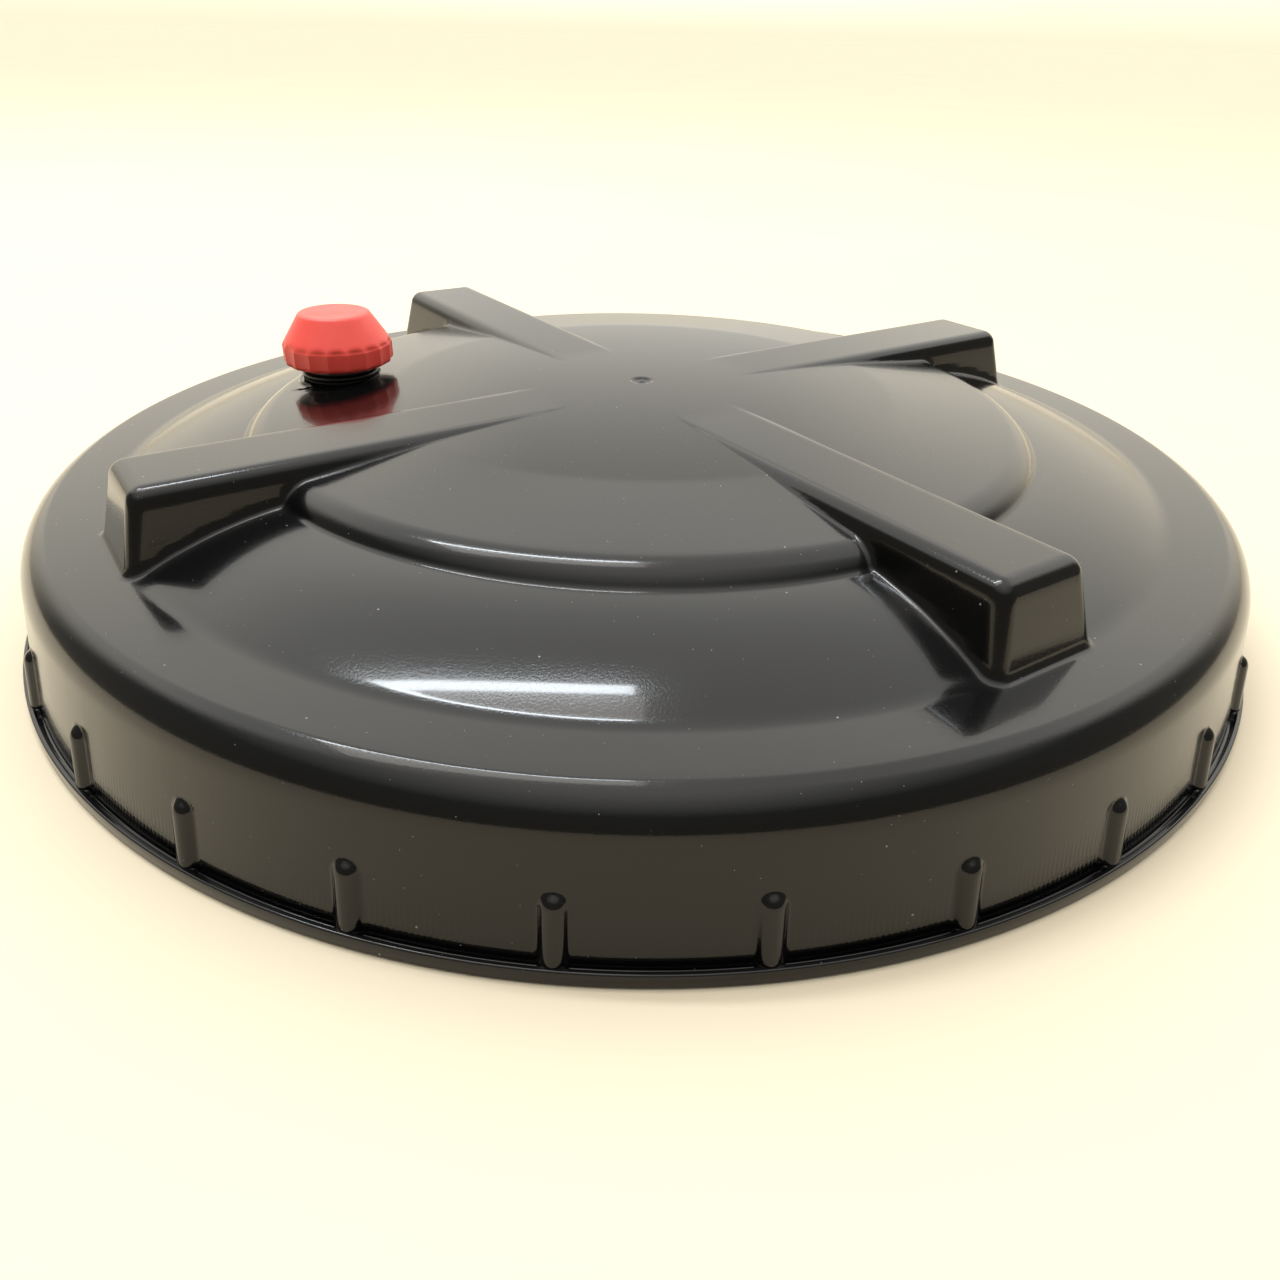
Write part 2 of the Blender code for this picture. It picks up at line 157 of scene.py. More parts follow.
# Breather cap
CAP_RADIUS = (CAP_HIGH.x - CAP_LOW.x) / 2 / MM
CAP_BOTTOM = CAP_LOW.z / MM
CAP_TOP = CAP_HIGH.z / MM
CAP_SHOULDER = CAP_BOTTOM + 8.6
CAP_TOP_RADIUS = 14.3
CAP_CONE_RADIUS = 21.7
CAP_WALL = 1.9
SLEEVE_RADII = (14.5, 16.7)
SLEEVE_BOTTOM = 81
SLEEVE_TOPS = (94.5, 92.3)  # inside and outside, where the sleeve meets the roof
FLUTE_COUNT = 18
FLUTE_DEPTH = 0.75
VENT_COUNT = 6
VENT_HEIGHTS = (88.3, 91.5)
VENT_HALF_ANGLE = 0.21

# Floor and camera, in metres
FLOOR_REACH = 40.0
FLOOR_DROP = 0.0003  # below the rim, so that the two don't lie in one plane
CAMERA_DISTANCE = 1.6966 * FLANGE_RADIUS * MM  # from the lid's axis
CAMERA_HEIGHT = 0.8283 * FLANGE_RADIUS * MM
CAMERA_BEARING = math.radians(-124.13)
CAMERA_YAW = math.radians(0.28)
CAMERA_PITCH = math.radians(30.95)
CAMERA_ROLL = math.radians(1.45)
CAMERA_LENS = 28.58
SENSOR = 36.0
FRONT = Vector((math.cos(CAMERA_BEARING), math.sin(CAMERA_BEARING), 0))  # from the lid to the camera
RIGHT = Vector((-FRONT.y, FRONT.x, 0))

# Room colours by elevation in degrees, behind the lid and on the camera's side
SKY_STRENGTH = 2.3
BRIGHT_SKY = [
    (0, (0.46, 0.412, 0.302)),
    (4, (0.60, 0.55, 0.45)),
    (30, (0.85, 0.82, 0.73)),
    (37, (1.0, 0.98, 0.92)),
    (50, (0.92, 0.91, 0.87)),
    (80, (0.90, 0.88, 0.85)),
]
DIM_SKY = [
    (0, (0.11, 0.10, 0.08)),
    (34, (0.12, 0.12, 0.11)),
    (60, (0.60, 0.59, 0.56)),
    (80, (0.90, 0.88, 0.85)),
]
DIM_SIDE = (-0.75, -0.35)  # where the bright side gives way to the dim one
WALL_SHADE = (0.53, 0.51, 0.46)  # of the wall behind the lid, and then where it fades in
WALL_SIDES = (0.34, 0.10)  # part of a direction along RIGHT
WALL_TOP = (0.57, 0.45)  # part of a direction upwards
WALL_FOOT = (0.0, 0.06)
WALL_DEPTH = (-0.2, -0.5)  # part of a direction along FRONT

# Ceiling lights: limits across the view, limits away from the camera, radiance and colour
CEILING = 2.4  # metres
TUBE = ((-0.60, 0.0), (0.26, 0.31), 42, (0.88, 0.95, 1.0))
DIFFUSER = ((-0.60, 0.02), (0.02, 0.25), 4, (1.0, 0.96, 0.90))


# ---- shape of the lid


def round_max(a, b, radius):
    """Overlap of two solids given by distances, with the edge between them rounded."""
    corner = np.hypot(np.maximum(a + radius, 0), np.maximum(b + radius, 0))
    return np.minimum(np.maximum(a, b), -radius) + corner


def round_min(a, b, radius):
    """Union of two solids given by distances, with a fillet where they meet."""
    corner = np.hypot(np.maximum(radius - a, 0), np.maximum(radius - b, 0))
    return np.maximum(np.minimum(a, b), radius) - corner


def soft_min(a, b, width):
    """The lower of two heights, blended over a short stretch."""
    share = np.clip(0.5 + 0.5 * (b - a) / width, 0, 1)
    return b + (a - b) * share - width * share * (1 - share)


def smooth_step(low, high, value):
    t = np.clip((value - low) / (high - low), 0, 1)
    return t * t * (3 - 2 * t)


def skirt_radius(height):
    """Outer radius of the drafted skirt at a height."""
    slope = (SHOULDER_CORNER[0] - SKIRT_BASE_RADIUS) / (SHOULDER_CORNER[1] - FLANGE_HEIGHT)
    return SKIRT_BASE_RADIUS + slope * (height - FLANGE_HEIGHT)


def plateau_height(radius):
    """Height of the raised middle: a shallow dome, then a gentle cone out to the step."""
    dome = LID_HEIGHT - (LID_HEIGHT - PLATEAU_HEIGHT) * (radius / PLATEAU_RADIUS) ** 2
    fall = (PLATEAU_HEIGHT - STEP_TOP[1]) / (STEP_TOP[0] - PLATEAU_RADIUS)
    cone = PLATEAU_HEIGHT - fall * (radius - PLATEAU_RADIUS)
    return soft_min(dome, cone, 0.12)


def band_height(radius):
    """Height of the crowned band outside the step, and of the ring outside its crease."""
    t = np.clip((radius - STEP_BASE[0]) / (CREASE[0] - STEP_BASE[0]), -0.2, 1.5)
    band = STEP_BASE[1] + (CREASE[1] - STEP_BASE[1]) * t + 4 * BAND_BULGE * t * (1 - t)
    fall = (CREASE[1] - SHOULDER_EDGE[1]) / (SHOULDER_EDGE[0] - CREASE[0])
    ring = CREASE[1] - fall * (radius - CREASE[0])
    return -soft_min(-band, -ring, CREASE_SOFTNESS)


def grip_distance(x, y, z, inset):
    """Distance outside the tapered block of the nearest grip rib, shrunk by inset."""
    along = np.maximum(np.abs(x), np.abs(y))
    across = np.minimum(np.abs(x), np.abs(y))
    rise = GRIP_TOP - GRIP_FOOT
    draft = (GRIP_HALF_WIDTHS[1] - GRIP_HALF_WIDTHS[0]) / rise
    end_draft = (GRIP_ENDS[1] - GRIP_ENDS[0]) / rise
    top = z - (GRIP_TOP - inset)
    side = (across - GRIP_HALF_WIDTHS[0] + inset + draft * (z - GRIP_TOP)) / math.hypot(1, draft)
    end = (along - GRIP_ENDS[0] + inset + end_draft * (z - GRIP_TOP)) / math.hypot(1, end_draft)
    edge = GRIP_ROUND - inset / 2
    return round_max(round_max(side, end, edge), top, edge)


def lid_distance(x, y, z, inset):
    """Distance above the lid's top surface, or with an inset above its underside."""
    radius = np.hypot(x, y)
    low = (z + inset - band_height(radius)) * BAND_LEAN
    step_draft = (STEP_BASE[0] - STEP_TOP[0]) / (STEP_TOP[1] - STEP_BASE[1])
    wall = radius - STEP_TOP[0] + inset + step_draft * (z - STEP_TOP[1])
    high = round_max(z + inset - plateau_height(radius), wall, STEP_ROUND - inset / 2)
    body = round_min(low, high, STEP_FILLET)
    on_plateau = radius < STEP_TOP[0] - inset
    surface = np.where(on_plateau, plateau_height(radius), band_height(radius)) - inset
    fillet = GRIP_FILLET * smooth_step(*GRIP_FILLET_FADE, GRIP_TOP - inset - surface) + 0.01
    body = round_min(body, grip_distance(x, y, z, inset), fillet)
    from_stem = np.hypot(x - BREATHER_X, y - BREATHER_Y)
    if inset:
        boss = round_max(from_stem - BOSS_RADIUS, BOSS_UNDERSIDE - z, 0.3)
        return round_max(body, -boss, 0.3)
    boss = round_max(from_stem - BOSS_RADIUS, z - BOSS_TOP, 0.5)
    body = round_min(body, boss, 1.0)
    pocket = round_max(from_stem - SEAT_RADIUS, BOSS_TOP - z, 0.05)
    body = round_max(body, -pocket, 0.35)
    return gate_scar(radius, x, body)


def gate_scar(radius, x, body):
    """The shallow dimple and broken nub that the moulding gate leaves in the middle."""
    dimple = DIMPLE_DEPTH * (1 - smooth_step(*DIMPLE_RADII, radius))
    nub = NUB_HEIGHT * (1 - smooth_step(*NUB_RADII, np.hypot(radius, 0.4 * x)))
    return body + dimple - nub


def surface_height(x, y, inset):
    """Height of the surface over each point, found by halving an interval."""
    low = np.full(x.shape, float(HEIGHT_RANGE[0] - inset))
    high = np.full(x.shape, float(HEIGHT_RANGE[1]))
    for _ in range(HALVINGS):
        middle = (low + high) / 2
        above = lid_distance(x, y, middle, inset) > 0
        high = np.where(above, middle, high)
        low = np.where(above, low, middle)
    return (low + high) / 2


# ---- mesh lines of the lid


def quarter_lines():
    """Offsets of the lines along one grip, and the bearings in degrees of those beside it, up to 45."""
    over_skirt_rib = [0, 0.9, 1.8, 2.6, 3.2, 3.7, 4.4, 5.6, 8.5, 11.3]
    over_grip_side = np.arange(13.0, GRIP_BAND, 0.56)
    along = np.concatenate([over_skirt_rib, over_grip_side, [GRIP_BAND]])
    edge = math.degrees(math.asin(GRIP_BAND / LINE_END))
    beside = list(np.arange(edge + LINE_PITCH, 44.4, LINE_PITCH)) + [45.0]
    half_rib = np.array([0.25, 0.5, 0.72, 0.86, 0.98, 1.2, 1.5])
    spread = np.concatenate([-half_rib[::-1], [0], half_rib])
    pitch = 360 / SKIRT_RIB_COUNT
    for i in range(1, SKIRT_RIB_COUNT // 8 + 1):
        centre = i * pitch
        beside = [b for b in beside if abs(b - centre) > RIB_CLEARANCE]
        beside += list(centre + spread)
    return along, np.array(sorted(beside))


def line_bearings(radius):
    """Bearings, in radians and all the way round, of the mesh lines where they cross a radius."""
    along, beside = quarter_lines()
    reach = min(max(radius, GRIP_SOURCE), LINE_END)
    inner = np.arcsin(along / reach)
    edge = inner[-1]
    outer_edge = math.asin(GRIP_BAND / LINE_END)
    quarter = math.pi / 4
    outer = edge + (np.radians(beside) - outer_edge) * (quarter - edge) / (quarter - outer_edge)
    half = np.concatenate([inner, outer])
    whole = np.concatenate([-half[:0:-1], half[:-1]])
    return np.concatenate([whole + math.pi / 2 * k for k in range(GRIP_COUNT)])


def ring_points(value, straight):
    """One ring of points at a radius. Straight, from 0 to 1, flattens it where it crosses the grips."""
    bearing = line_bearings(value)
    local = (bearing + math.pi / 4) % (math.pi / 2) - math.pi / 4
    if straight:
        edge = math.asin(GRIP_BAND / value)
        flat = 1 / np.cos(np.minimum(np.abs(local), edge))
        fade = 1 - smooth_step(edge, edge + STRAIGHT_FADE, np.abs(local))
        stretch = 1 + (flat - 1) * straight * np.where(np.abs(local) <= edge, 1, fade)
    else:
        stretch = 1.0
    return value * stretch * np.cos(bearing), value * stretch * np.sin(bearing)


def arc_values(end, radius, start_deg, stop_deg, count):
    """Radii at even steps along an arc that ends at a radius."""
    angles = np.radians(np.linspace(start_deg, stop_deg, count))
    return end + radius * (np.sin(angles) - 1)


def top_rings():
    """Radii of the top's rings, close together where the surface turns."""
    scar = np.arange(0.6, 6.1, 0.6)
    middle = [7.5, 10, 14, 19, 25, 31, 37, 43, 49, 55]
    plateau = np.concatenate([np.arange(60, 97, 4.6), np.arange(98, 110, 1.2), np.arange(112, 147, 4.8)])
    step = arc_values(STEP_TOP[0], STEP_ROUND, 2, 66, 19)
    foot = np.array([-1.05, -0.85, -0.65, -0.45, -0.25, 0, 0.3, 0.7, 1.2, 2, 3.4, 6.2]) + STEP_BASE[0]
    band = np.arange(169, 192, 3.8)
    ends = np.arange(194, 214.5, 0.72)
    return np.concatenate([scar, middle, plateau, step, foot, band, ends, [LINE_END, 219, 222.5]])


def under_rings():
    """Radii of the underside's rings."""
    end = STEP_TOP[0] - WALL
    middle = [4, 10, 17, 25, 33, 41, 49, 55]
    plateau = np.arange(60, 144, 4.9)
    step = arc_values(end, STEP_ROUND - WALL / 2, 0, 66, 8)
    foot = np.array([-0.5, -0.3, -0.1, 0.1, 0.4, 0.7, 1.2, 2, 3.6]) + end
    band = np.arange(163, 186, 4.5)
    ends = np.arange(188, 209.3, 0.8)
    return np.concatenate([middle, plateau, step, foot, band, ends])


def straightness(value):
    """1 on a ring that runs straight across a grip's end, 0 on a round one."""
    return float(smooth_step(*STRAIGHT_FROM, value) * (1 - smooth_step(STRAIGHT_UNTIL, LINE_END, value)))


def fillet(before, corner, after, radius, segments):
    """Points of an arc that rounds the corner between two straight stretches of a profile."""
    corner = Vector(corner)
    back = (Vector(before) - corner).normalized()
    onward = (Vector(after) - corner).normalized()
    half_angle = back.angle(onward) / 2
    centre = corner + (back + onward).normalized() * (radius / math.sin(half_angle))
    start = corner + back * (radius / math.tan(half_angle)) - centre
    turn = math.pi - 2 * half_angle
    side = math.copysign(1.0, back.x * onward.y - back.y * onward.x)
    points = []
    for i in range(segments + 1):
        angle = -side * turn * i / segments
        x = start.x * math.cos(angle) - start.y * math.sin(angle)
        y = start.x * math.sin(angle) + start.y * math.cos(angle)
        points.append((centre.x + x, centre.y + y))
    return points


def rounded(corners):
    """A profile from (radius, height, rounding, segments) corners, with its first and last ones sharp."""
    points = [corners[0][:2]]
    for i in range(1, len(corners) - 1):
        r, z, rounding, segments = corners[i]
        if rounding:
            points += fillet(corners[i - 1][:2], (r, z), corners[i + 1][:2], rounding, segments)
        else:
            points.append((r, z))
    points.append(corners[-1][:2])
    return points


def skirt_rib_bump(bearing, height):
    """How far the nearest upright rib stands out of the skirt."""
    pitch = math.tau / SKIRT_RIB_COUNT
    offset = ((bearing + pitch / 2) % pitch - pitch / 2) * skirt_radius(height)
    over = np.maximum(0, height - (SKIRT_RIB_TOP - SKIRT_RIB_END))
    reach = np.sqrt(offset**2 + over**2)
    buried = SKIRT_RIB_RADIUS - SKIRT_RIB_PROUD
    dome = np.sqrt(np.maximum(0, SKIRT_RIB_RADIUS**2 - reach**2)) - buried
    return -soft_min(-dome, np.zeros_like(dome), SKIRT_RIB_FILLET)


def skirt_profile():
    """Rows from the shoulder down the skirt, with a rounded shoulder; the groove and flange have their own
    profiles.
    """
    rows = fillet(CREASE, SHOULDER_EDGE, SHOULDER_CORNER, SHOULDER_EDGE_ROUND, 4)
    skirt_foot = (SKIRT_BASE_RADIUS, FLANGE_HEIGHT)
    rows += fillet(SHOULDER_EDGE, SHOULDER_CORNER, skirt_foot, SHOULDER_ROUND, 12)
    over_rib_ends = np.arange(28, 20, -0.55)
    heights = np.concatenate([[36, 32, 29.5], over_rib_ends, [18.5, 15, 11, 8, 6.4, 5.4, 4.9]])
    rows += [(skirt_radius(h), h) for h in heights]
    return rows


def groove_profile():
    """Rows from the skirt's foot through the groove to the inner edge of the flange's lip."""
    corners = [
        (SKIRT_BASE_RADIUS, 4.4, 0, 0),
        (SKIRT_BASE_RADIUS + 0.15, GROOVE_FLOOR, 0.35, 3),
        (SKIRT_BASE_RADIUS + GROOVE_WIDTH - 0.15, GROOVE_FLOOR, 0.35, 3),
        (SKIRT_BASE_RADIUS + GROOVE_WIDTH, FLANGE_HEIGHT, 0.3, 3),
        (SKIRT_BASE_RADIUS + GROOVE_WIDTH + 0.35, FLANGE_HEIGHT, 0, 0),
    ]
    return rounded(corners)


def groove_rings(builder):
    """The groove's rows. The skirt ribs' feet fill it as far out as they stand proud."""
    bearing = line_bearings(LINE_END)
    bump = skirt_rib_bump(bearing, FLANGE_HEIGHT)
    filled = smooth_step(0.02, 0.5, bump)
    rings = []
    for i, (radius, height) in enumerate(groove_profile()):
        foot = SKIRT_BASE_RADIUS + bump + ROW_GAP * i
        reach = np.where(bump > 0, np.maximum(radius, foot), radius)
        raised = height + (FLANGE_HEIGHT - height) * filled
        rings.append(builder.ring(reach * np.cos(bearing), reach * np.sin(bearing), raised))
    return rings


def flange_profile():
    """Rows round the flange's lip and under the rim to the inside of the skirt."""
    corners = [
        (FLANGE_RADIUS - 0.65, FLANGE_HEIGHT, 0, 0),
        (FLANGE_RADIUS, FLANGE_HEIGHT, 0.6, 4),
        (FLANGE_RADIUS, 0, 0.5, 3),
        (skirt_radius(0) - WALL, 0, 0.5, 3),
        (skirt_radius(3) - WALL, 3, 0, 0),
    ]
    return rounded(corners)


def thread_bump(bearing, height):
    """How far the neck thread stands in from the skirt's inner wall."""
    bump = np.zeros_like(bearing)
    for turn in range(math.ceil(THREAD_TURNS) + 1):
        wound = bearing % math.tau + math.tau * turn
        left = math.tau * THREAD_TURNS - wound
        centre = THREAD_START + THREAD_PITCH * wound / math.tau
        ends = smooth_step(0, THREAD_RUN_OUT, wound) * smooth_step(0, THREAD_RUN_OUT, left)
        flank = 1 - smooth_step(*THREAD_FLANK, np.abs(height - centre))
        bump = np.maximum(bump, THREAD_HEIGHT * flank * ends)
    return bump


def inner_wall_profile():
    """Rows up the inside of the skirt, close together over the thread."""
    heights = np.concatenate([[5, 7], np.arange(8.5, 34, 0.6), [36, 38]])
    return [(skirt_radius(h) - WALL, h) for h in heights]


def seat_profile():
    """Rows from the skirt's inner wall over the gasket seat and its lip to the underside."""
    corners = [
        (skirt_radius(LIP_HEIGHT - 1) - WALL, LIP_HEIGHT - 1, 0, 0),
        (skirt_radius(LIP_HEIGHT) - WALL, LIP_HEIGHT + 0.4, 1.0, 3),
        (SEAT_RADII[1], SEAT_HEIGHT, 1.5, 4),
        (SEAT_RADII[0], SEAT_HEIGHT, 0.25, 2),
        (SEAT_RADII[0], LIP_HEIGHT, 0.6, 3),
        (LIP_INNER_RADIUS, LIP_HEIGHT, 0.6, 3),
        (LIP_INNER_RADIUS, CREASE[1] - 1.1 * WALL, 0.8, 4),
        (LIP_INNER_RADIUS - 2.2, CREASE[1] - 1.08 * WALL, 0, 0),
    ]
    return rounded(corners)


# ---- building meshes


class Builder:
    """Gathers rings of points and the faces between them."""

    def __init__(self):
        self.points = []
        self.faces = []

    def ring(self, x, y, z):
        start = len(self.points)
        z = np.broadcast_to(z, x.shape)
        self.points.extend(zip(x.tolist(), y.tolist(), z.tolist()))
        return list(range(start, start + len(x)))

    def point(self, x, y, z):
        self.points.append((x, y, z))
        return len(self.points) - 1

    def join(self, ring, onward, skip=()):
        """Faces between two closed rings of as many points, leaving out the columns in skip."""
        count = len(ring)
        for i in range(count):
            if i not in skip:
                j = (i + 1) % count
                self.faces.append((ring[i], onward[i], onward[j], ring[j]))

    def fan(self, centre, ring):
        count = len(ring)
        for i in range(count):
            self.faces.append((centre, ring[i], ring[(i + 1) % count]))

    def mesh(self, name, smooth_angle):
        """The mesh in metres, with edges over the angle in degrees left sharp."""
        mesh = bpy.data.meshes.new(name)
        points = (np.array(self.points) * MM).tolist()
        mesh.from_pydata(points, [], self.faces)
        mesh.validate()
        mesh.shade_smooth()
        mesh.set_sharp_from_angle(angle=math.radians(smooth_angle))
        return mesh


def add_piece(name, mesh, body, slot, material, *nodes):
    """A piece that rides on a body and stands for CAD nodes."""
    piece = bpy.data.objects.new(name, mesh)
    bpy.context.scene.collection.objects.link(piece)
    mesh.materials.append(material)
    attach(piece, body)
    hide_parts(*nodes)


def stem_patch(builder, rings, values, inset):
    """Loops that close in on the stem's hole, and the (ring, column) cells that they take the place of."""
    bearings = np.array([line_bearings(value) for value in values])
    middle = math.atan2(BREATHER_Y, BREATHER_X)
    count = bearings.shape[1]
    centre_column = int(np.argmin(np.abs(bearings[len(values) // 2] - middle)))
    reach = math.asin((BOSS_RADIUS + PATCH_MARGINS[0]) / BREATHER_OFFSET)
    near = np.argmin(np.abs(np.array(values) - BREATHER_OFFSET))
    spread = int(np.sum(np.abs(bearings[near] - middle) < reach)) // 2 + 1
    columns = [(centre_column + k) % count for k in range(-spread, spread + 1)]
    first = int(np.searchsorted(values, BREATHER_OFFSET - BOSS_RADIUS - PATCH_MARGINS[0])) - 1
    last = int(np.searchsorted(values, BREATHER_OFFSET + BOSS_RADIUS + PATCH_MARGINS[1]))
    skipped = {(i, c) for i in range(first, last) for c in columns[:-1]}
    outline = [rings[first][c] for c in columns]
    outline += [rings[i][columns[-1]] for i in range(first + 1, last + 1)]
    outline += [rings[last][c] for c in reversed(columns[:-1])]
    outline += [rings[i][columns[0]] for i in range(last - 1, first, -1)]
    start = np.array([builder.points[i][:2] for i in outline])
    away = start - (BREATHER_X, BREATHER_Y)
    angle = np.arctan2(away[:, 1], away[:, 0])
    unit = np.column_stack([np.cos(angle), np.sin(angle)])
    loops = [outline]
    for share, radius in patch_loops(inset):
        place = away * (1 - share) + unit * radius * share
        x = BREATHER_X + place[:, 0]
        y = BREATHER_Y + place[:, 1]
        loops.append(builder.ring(x, y, surface_height(x, y, inset)))
    return skipped, loops


def patch_loops(inset):
    """(how round, radius) of each loop from the polar grid in to the stem's hole."""
    outer = BOSS_RADIUS + 1.4
    loops = [(0.34, outer + 2), (0.67, outer + 1)]
    if inset:
        radii = [outer] + [BOSS_RADIUS + away for away in (0.6, 0.3, 0.05, -0.15, -0.4, -0.8)] + [15.5]
    else:
        up_the_boss = np.arange(outer, BOSS_RADIUS - 0.05, -0.14)
        into_the_seat = np.arange(BOSS_RADIUS - 0.1, SEAT_RADIUS - 0.5, -0.12)
        radii = [*up_the_boss, *into_the_seat, 15.2]
    return loops + [(1.0, radius) for radius in radii] + [(1.0, STEM_HOLE_RADIUS)]


def lid_surface(builder, values, inset):
    """Rings of the top or the underside, with the stem's hole. Returns the outermost ring and the hole."""
    rings = []
    for value in values:
        x, y = ring_points(value, straightness(value))
        rings.append(builder.ring(x, y, surface_height(x, y, inset)))
    centre = builder.point(0, 0, float(surface_height(np.zeros(1), np.zeros(1), inset)[0]))
    skipped, loops = stem_patch(builder, rings, values, inset)
    before = len(builder.faces)
    builder.fan(centre, rings[0])
    for i in range(len(rings) - 1):
        builder.join(rings[i], rings[i + 1], {c for row, c in skipped if row == i})
    for loop, onward in zip(loops, loops[1:]):
        builder.join(onward, loop)
    if inset:
        builder.faces[before:] = [face[::-1] for face in builder.faces[before:]]
    return rings[-1], loops[-1]


def profile_rings(builder, profile, bump=None):
    """Full rings at the mesh lines' bearings for each row of a profile, moved out by bump."""
    bearing = line_bearings(LINE_END)
    rings = []
    for radius, height in profile:
        reach = radius + (bump(bearing, height) if bump else 0)
        rings.append(builder.ring(reach * np.cos(bearing), reach * np.sin(bearing), height))
    return rings


def build_lid():
    """The whole moulding as one closed surface: top, skirt, flange, inner wall, seat and underside."""
    builder = Builder()
    edge, hole = lid_surface(builder, top_rings(), 0)
    rows = profile_rings(builder, skirt_profile(), skirt_rib_bump)
    rows += groove_rings(builder)
    rows += profile_rings(builder, flange_profile())
    rows += profile_rings(builder, inner_wall_profile(), lambda b, h: -thread_bump(b, h))
    rows += profile_rings(builder, seat_profile())
    under_edge, under_hole = lid_surface(builder, under_rings(), WALL)
    chain = [edge] + rows + [under_edge]
    for ring, onward in zip(chain, chain[1:]):
        builder.join(ring, onward)
    close_hole(builder, hole, under_hole)
    return builder.mesh("lid_moulding", 50)


def close_hole(builder, top, under):
    """The wall of the stem's hole, between loops whose points are spaced differently."""

    def by_angle(loop):
        places = [builder.points[i] for i in loop]
        angles = [math.atan2(y - BREATHER_Y, x - BREATHER_X) for x, y, _ in places]
        order = np.argsort(angles)
        return [loop[k] for k in order], [angles[k] for k in order]

    upper, upper_angles = by_angle(top)
    lower, lower_angles = by_angle(under)
    i = j = 0
    while i < len(upper) or j < len(lower):
        next_upper = upper_angles[i + 1] if i + 1 < len(upper) else math.inf
        next_lower = lower_angles[j + 1] if j + 1 < len(lower) else math.inf
        a = upper[i % len(upper)]
        b = lower[j % len(lower)]
        if j >= len(lower) or (i < len(upper) and next_upper <= next_lower):
            builder.faces.append((a, upper[(i + 1) % len(upper)], b))
            i += 1
        else:
            builder.faces.append((a, lower[(j + 1) % len(lower)], b))
            j += 1


# ---- turned pieces of the breather


def build_turned(name, profile, columns, centre=(0, 0), shape=None, ring=True, smooth_angle=40):
    """A (radius, height) profile turned about an upright axis. Shape moves a row's radii by bearing.

    A ring's profile closes on itself. Otherwise both of its ends are on the axis.
    """
    builder = Builder()
    bearing = np.arange(columns) * math.tau / columns
    rows = []
    ends = []
    for radius, height in profile:
        if radius < 1e-6:
            ends.append(builder.point(centre[0], centre[1], height))
            continue
        reach = radius + (shape(bearing, radius, height) if shape else 0)
        x = centre[0] + reach * np.cos(bearing)
        y = centre[1] + reach * np.sin(bearing)
        rows.append(builder.ring(x, y, height))
    for row, onward in zip(rows, rows[1:]):
        builder.join(row, onward)
    if ring:
        builder.join(rows[-1], rows[0])
    else:
        builder.fan(ends[0], rows[0])
        builder.faces += [(ends[1], rows[-1][(i + 1) % columns], rows[-1][i]) for i in range(columns)]
    return builder.mesh(name, smooth_angle)


def spaced(low, high, count):
    return np.linspace(low, high, count).tolist()


def rounded_ring(inner, outer, bottom, top, rounding):
    """A closed profile of a ring with rounded edges, from the middle of its top round by the outside."""
    middle = (inner + outer) / 2
    corners = [
        (middle, top, 0, 0),
        (outer, top, rounding, 4),
        (outer, bottom, rounding, 4),
        (inner, bottom, rounding, 4),
        (inner, top, rounding, 4),
        (middle, top, 0, 0),
    ]
    return rounded(corners)[:-1]


def ring_piece(name, node, body, slot, material, rounding, columns=128):
    """A ring with rounded edges that fills a CAD ring's box."""
    low, high = (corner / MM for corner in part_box(node))
    centre = ((low.x + high.x) / 2, (low.y + high.y) / 2)
    outer = (high.x - low.x) / 2
    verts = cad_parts[node].data.vertices
    inner = min(math.hypot(v.co.x / MM - centre[0], v.co.y / MM - centre[1]) for v in verts)
    profile = rounded_ring(inner + 0.05, outer, low.z, high.z, rounding)
    mesh = build_turned(name, profile, columns, centre)
    add_piece(name, mesh, body, slot, material, node)


def helix_bump(bearing, height, pitch, depth):
    """A rounded thread cut into a cylinder, as a change of radius."""
    phase = (height / pitch - bearing / math.tau) % 1
    return -depth * smooth_step(0.15, 0.5, np.abs(phase - 0.5))


def stem_shape(bearing, radius, height):
    """The threads on the stem's shank and neck."""
    on_shank = abs(radius - SHANK_RADIUS) < 0.01 and STEM_BOTTOM + 1 < height < COLLAR[0] - 1
    on_neck = abs(radius - STEM_NECK_RADIUS) < 0.01 and STEM_THREAD_FOOT < height < STEM_TOP - 1
    if on_shank or on_neck:
        return helix_bump(bearing, height, STEM_THREAD_PITCH, STEM_THREAD_DEPTH)
    return 0


